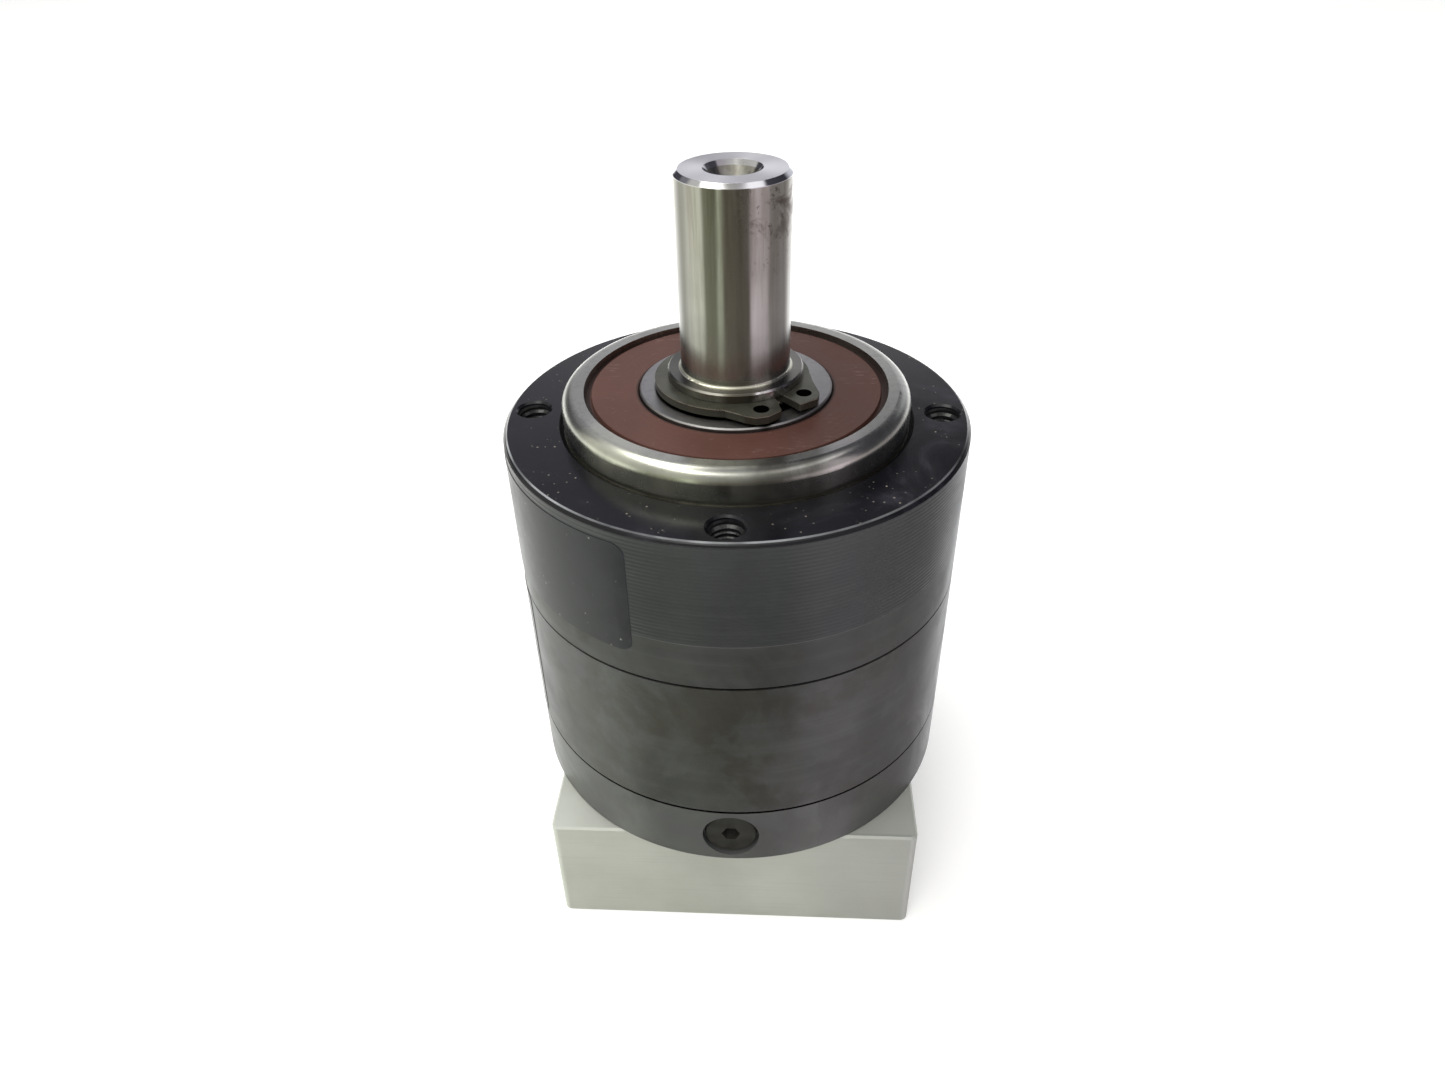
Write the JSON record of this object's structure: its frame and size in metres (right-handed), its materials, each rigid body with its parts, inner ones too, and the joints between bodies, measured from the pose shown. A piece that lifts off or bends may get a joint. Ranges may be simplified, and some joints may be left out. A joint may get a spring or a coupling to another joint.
{
  "type": "planetary gearbox",
  "caption": "Inline planetary gearbox: round dark steel casing on a square aluminium motor plate, sealed front bearing as pilot, plain output shaft.",
  "frame": {"origin": "centre of the motor-side face of the square plate, on the shaft axis", "axes": "+Z along the output shaft towards its tip; the clamp screw's access plug is on the -Y side; the plate's sides lie along X and Y"},
  "size_m": [0.0701, 0.07, 0.1195],
  "materials": {
    "plate_aluminium": "machined, satin",
    "dark_steel": "black oxide, fine turned, semi-gloss",
    "black_screw": "black oxide",
    "rubber_black": "smooth nitrile",
    "black_plug": "smooth black",
    "label_black": "satin film",
    "spring_steel": "phosphated spring steel",
    "bearing_steel": "ground, bright",
    "ball_steel": "polished",
    "cage_steel": "pressed steel",
    "seal_rubber": "red-brown moulded rubber",
    "ground_steel": "ground, satin",
    "gear_steel": "hobbed and hardened",
    "bronze": "bronze bush stock"
  },
  "bodies": {
    "housing": {"adapter_plate": "plate_aluminium", "input_housing": "dark_steel", "ring_gear": "dark_steel", "output_housing": "dark_steel", "tie_screws": "black_screw", "plate_screws": "black_screw", "input_o_ring": "rubber_black", "output_o_ring": "rubber_black", "access_plug": "black_plug", "front_label": "label_black", "side_label": "label_black", "input_bearing_circlip": "spring_steel", "main_bearing_outer_ring": "bearing_steel", "front_seal": "seal_rubber", "rear_seal": "seal_rubber", "carrier_bearing_outer_ring": "bearing_steel", "input_bearing_outer_ring": "bearing_steel"},
    "carrier": {"output_shaft": "ground_steel", "shaft_circlip": "spring_steel", "main_bearing_inner_ring": "bearing_steel", "carrier_bearing_inner_ring": "bearing_steel", "carrier_rear_plate": "ground_steel", "carrier_screws": "black_screw", "planet_pins": "ground_steel", "thrust_washers": "bronze"},
    "input": {"input_hub": "ground_steel", "clamp_ring": "dark_steel", "clamp_screw": "black_screw", "input_bearing_inner_ring": "bearing_steel"},
    "planet_1": {"planet_gear_1": "gear_steel"},
    "planet_2": {"planet_gear_2": "gear_steel"},
    "planet_3": {"planet_gear_3": "gear_steel"},
    "needles_1": {"needle_rollers_1": "ball_steel"},
    "needles_2": {"needle_rollers_2": "ball_steel"},
    "needles_3": {"needle_rollers_3": "ball_steel"},
    "main_cage": {"main_bearing_balls": "ball_steel", "main_bearing_cage": "cage_steel"},
    "carrier_cage": {"carrier_bearing_balls": "ball_steel", "carrier_bearing_cage": "cage_steel"},
    "input_cage": {"input_bearing_balls": "ball_steel", "input_bearing_cage": "cage_steel"}
  },
  "joints": [
    {"name": "carrier_spin", "type": "hinge", "parent": "housing", "child": "carrier", "pos_m": [0, 0, 0], "axis": [0, 0, 1], "continuous": true},
    {"name": "input_spin", "type": "hinge", "parent": "housing", "child": "input", "pos_m": [0, 0, 0], "axis": [0, 0, 1], "continuous": true},
    {"name": "planet_1_spin", "type": "hinge", "parent": "carrier", "child": "planet_1", "pos_m": [0.0168, 0, 0.0505], "axis": [0, 0, 1], "continuous": true},
    {"name": "needles_1_spin", "type": "hinge", "parent": "carrier", "child": "needles_1", "pos_m": [0.0168, 0, 0.0505], "axis": [0, 0, 1], "continuous": true},
    {"name": "planet_2_spin", "type": "hinge", "parent": "carrier", "child": "planet_2", "pos_m": [-0.0084, 0.01455, 0.0505], "axis": [0, 0, 1], "continuous": true},
    {"name": "needles_2_spin", "type": "hinge", "parent": "carrier", "child": "needles_2", "pos_m": [-0.0084, 0.01455, 0.0505], "axis": [0, 0, 1], "continuous": true},
    {"name": "planet_3_spin", "type": "hinge", "parent": "carrier", "child": "planet_3", "pos_m": [-0.0084, -0.01455, 0.0505], "axis": [0, 0, 1], "continuous": true},
    {"name": "needles_3_spin", "type": "hinge", "parent": "carrier", "child": "needles_3", "pos_m": [-0.0084, -0.01455, 0.0505], "axis": [0, 0, 1], "continuous": true},
    {"name": "main_cage_spin", "type": "hinge", "parent": "housing", "child": "main_cage", "pos_m": [0, 0, 0], "axis": [0, 0, 1], "continuous": true},
    {"name": "carrier_cage_spin", "type": "hinge", "parent": "housing", "child": "carrier_cage", "pos_m": [0, 0, 0], "axis": [0, 0, 1], "continuous": true},
    {"name": "input_cage_spin", "type": "hinge", "parent": "housing", "child": "input_cage", "pos_m": [0, 0, 0], "axis": [0, 0, 1], "continuous": true}
  ],
  "couplings": [
    {"joint": "input_spin", "follows": "carrier_spin", "ratio": 4},
    {"joint": "planet_1_spin", "follows": "carrier_spin", "ratio": -3},
    {"joint": "needles_1_spin", "follows": "carrier_spin", "ratio": -1.8},
    {"joint": "planet_2_spin", "follows": "carrier_spin", "ratio": -3},
    {"joint": "needles_2_spin", "follows": "carrier_spin", "ratio": -1.8},
    {"joint": "planet_3_spin", "follows": "carrier_spin", "ratio": -3},
    {"joint": "needles_3_spin", "follows": "carrier_spin", "ratio": -1.8},
    {"joint": "main_cage_spin", "follows": "carrier_spin", "ratio": 0.37088},
    {"joint": "carrier_cage_spin", "follows": "carrier_spin", "ratio": 0.43247},
    {"joint": "input_cage_spin", "follows": "carrier_spin", "ratio": 1.7308}
  ]
}
